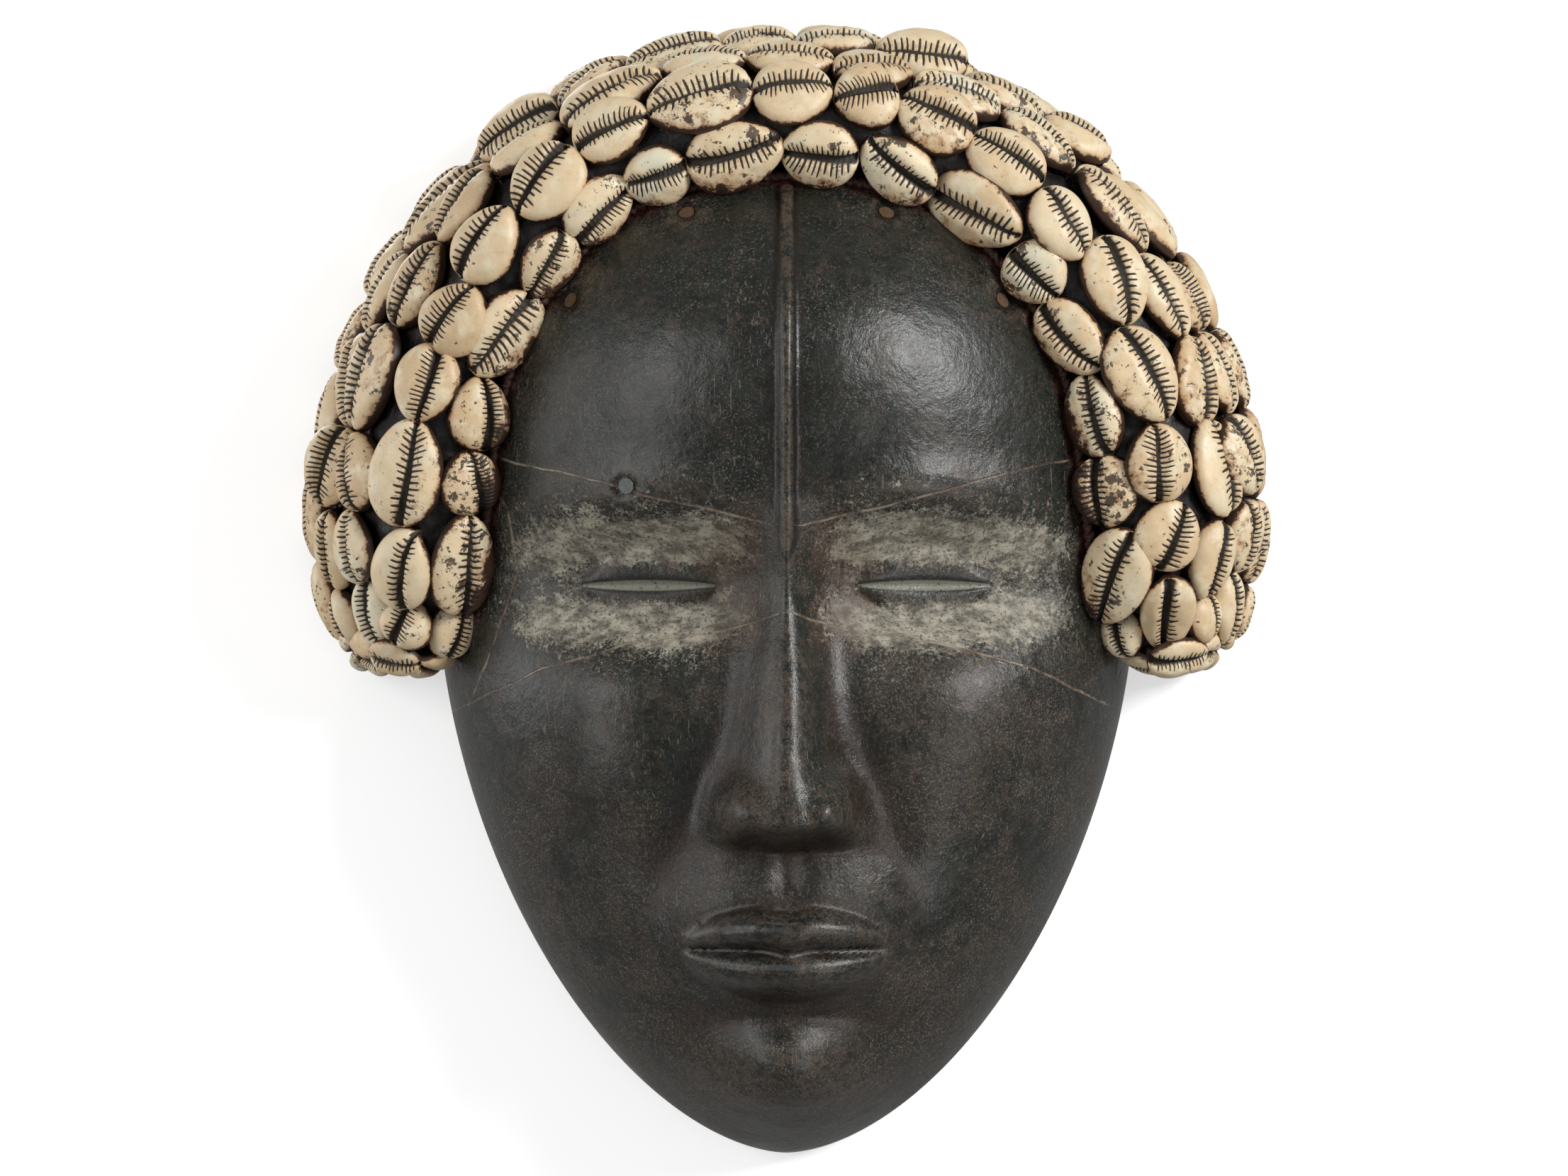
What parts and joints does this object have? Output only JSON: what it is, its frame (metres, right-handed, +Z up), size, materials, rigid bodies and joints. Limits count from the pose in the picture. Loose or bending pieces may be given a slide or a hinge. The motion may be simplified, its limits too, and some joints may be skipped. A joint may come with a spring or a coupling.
{
  "type": "carved wooden mask",
  "caption": "Wall-hung carved wooden face mask, hollow at the back, under a horseshoe-shaped padded headdress sewn all over with cowrie shells.",
  "frame": {"origin": "hanging point: on the flat back of the wooden rim, at the middle of its top, where it bears on the wall", "axes": "+Z up along the mask's height, -Y the way the face looks, +Y into the wall, +X to the viewer's right"},
  "size_m": [0.2403, 0.0836, 0.2787],
  "materials": {
    "wood": "dark polished patina",
    "peg": "raw end grain",
    "plug": "worn grey",
    "pitched_cloth": "coated with dark pitch",
    "backing_cloth": "woven, matt",
    "fibre": "packed plant fibre",
    "cord": "twisted, pitch-stained",
    "cowrie": "natural shell, satin"
  },
  "bodies": {
    "root": {"brow_plug": "plug", "cowrie_end_1": "cowrie", "cowrie_end_2": "cowrie", "cowrie_end_3": "cowrie", "cowrie_end_4": "cowrie", "cowrie_end_5": "cowrie", "cowrie_end_6": "cowrie", "cowrie_end_7": "cowrie", "cowrie_end_8": "cowrie", "cowrie_hem_1": "cowrie", "cowrie_hem_10": "cowrie", "cowrie_hem_11": "cowrie", "cowrie_hem_12": "cowrie", "cowrie_hem_13": "cowrie", "cowrie_hem_14": "cowrie", "cowrie_hem_15": "cowrie", "cowrie_hem_16": "cowrie", "cowrie_hem_17": "cowrie", "cowrie_hem_18": "cowrie", "cowrie_hem_2": "cowrie", "cowrie_hem_3": "cowrie", "cowrie_hem_4": "cowrie", "cowrie_hem_5": "cowrie", "cowrie_hem_6": "cowrie", "cowrie_hem_7": "cowrie", "cowrie_hem_8": "cowrie", "cowrie_hem_9": "cowrie", "cowrie_string_2_1": "cowrie", "cowrie_string_2_2": "cowrie", "cowrie_string_2_3": "cowrie", "cowrie_string_2_4": "cowrie", "cowrie_string_2_5": "cowrie", "cowrie_string_3_1": "cowrie", "cowrie_string_3_2": "cowrie", "cowrie_string_3_3": "cowrie", "cowrie_string_3_4": "cowrie", "cowrie_string_3_5": "cowrie", "cowrie_string_4_1": "cowrie", "cowrie_string_4_2": "cowrie", "cowrie_string_4_3": "cowrie", "cowrie_string_4_4": "cowrie", "cowrie_string_4_5": "cowrie", "cowrie_string_5_1": "cowrie", "cowrie_string_5_2": "cowrie", "cowrie_string_5_3": "cowrie", "cowrie_string_5_4": "cowrie", "cowrie_string_5_5": "cowrie", "headdress_backing": "backing_cloth", "headdress_cover": "pitched_cloth", "hem_cord": "cord", "padding_roll": "fibre", "rim_peg_left_lower": "peg", "rim_peg_left_upper": "peg", "rim_peg_right_lower": "peg", "rim_peg_right_upper": "peg", "wooden_face": "wood"}
  },
  "joints": []
}
